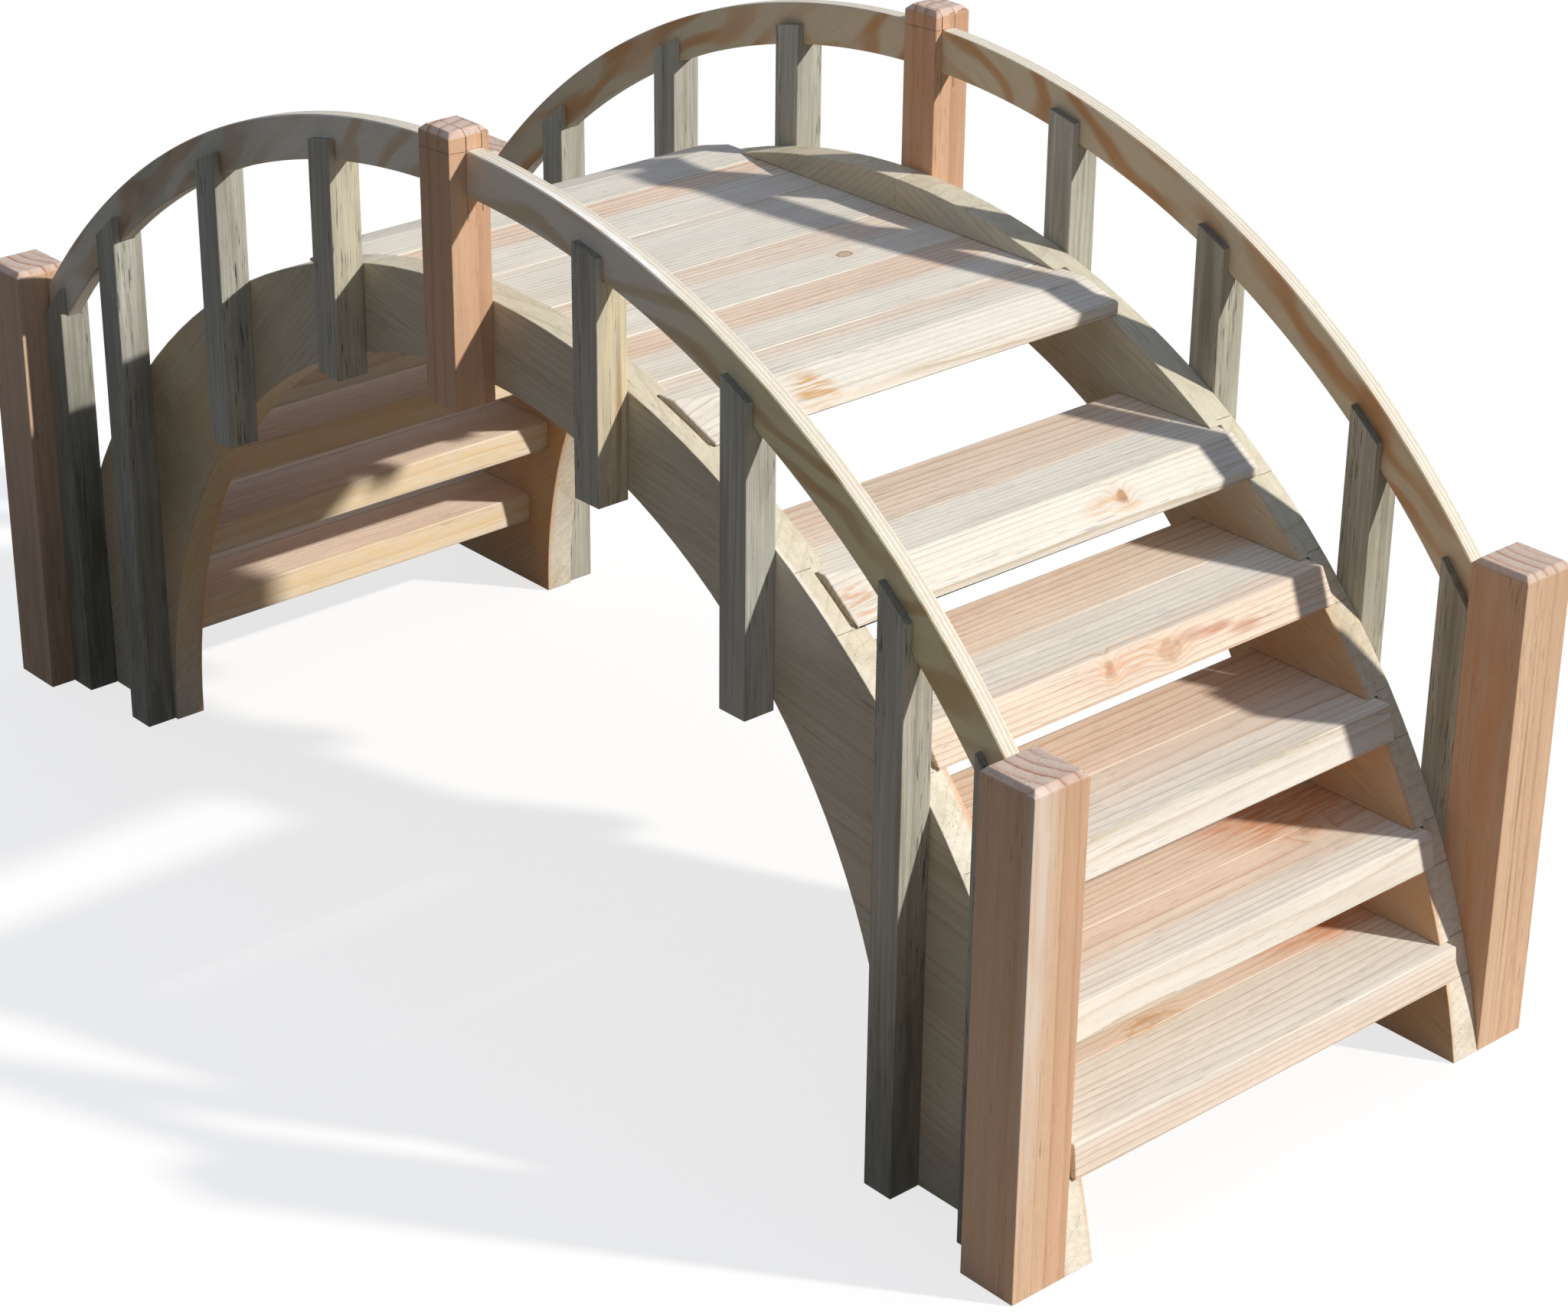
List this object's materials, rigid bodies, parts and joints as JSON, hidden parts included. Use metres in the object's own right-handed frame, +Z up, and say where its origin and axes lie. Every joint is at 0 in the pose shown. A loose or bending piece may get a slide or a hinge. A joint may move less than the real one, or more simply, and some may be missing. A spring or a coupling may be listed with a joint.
{
  "type": "garden moon bridge",
  "caption": "Small arched garden bridge in raw softwood, with sawn arch sides, housed treads up to a flat deck and curved handrails on slotted balusters.",
  "frame": {"origin": "on the ground under the middle of the deck, the bottom centre of the whole bridge", "axes": "+X along the bridge towards its front end, +Y across it towards its right side, +Z up"},
  "size_m": [1.76, 0.752, 0.92],
  "materials": {
    "stringer_wood": "raw sawn",
    "rail_plywood": "raw sawn",
    "baluster_wood": "raw planed",
    "post_wood": "raw planed",
    "tread_wood": "raw planed"
  },
  "bodies": {
    "root": {"back_left_baluster_1": "baluster_wood", "back_left_baluster_2": "baluster_wood", "back_left_baluster_3": "baluster_wood", "back_left_baluster_4": "baluster_wood", "back_left_post": "post_wood", "back_right_baluster_1": "baluster_wood", "back_right_baluster_2": "baluster_wood", "back_right_baluster_3": "baluster_wood", "back_right_baluster_4": "baluster_wood", "back_right_post": "post_wood", "back_tread_1": "tread_wood", "back_tread_2": "tread_wood", "back_tread_3": "tread_wood", "back_tread_4": "tread_wood", "back_tread_5": "tread_wood", "deck_back_board": "tread_wood", "deck_front_board": "tread_wood", "deck_inner_board_1": "tread_wood", "deck_inner_board_2": "tread_wood", "deck_inner_board_3": "tread_wood", "deck_inner_board_4": "tread_wood", "front_left_baluster_1": "baluster_wood", "front_left_baluster_2": "baluster_wood", "front_left_baluster_3": "baluster_wood", "front_left_baluster_4": "baluster_wood", "front_left_post": "post_wood", "front_right_baluster_1": "baluster_wood", "front_right_baluster_2": "baluster_wood", "front_right_baluster_3": "baluster_wood", "front_right_baluster_4": "baluster_wood", "front_right_post": "post_wood", "front_tread_1": "tread_wood", "front_tread_2": "tread_wood", "front_tread_3": "tread_wood", "front_tread_4": "tread_wood", "front_tread_5": "tread_wood", "left_middle_post": "post_wood", "left_middle_post_plug": "post_wood", "left_rail": "rail_plywood", "left_stringer": "stringer_wood", "right_middle_post": "post_wood", "right_middle_post_plug": "post_wood", "right_rail": "rail_plywood", "right_stringer": "stringer_wood"}
  },
  "joints": []
}
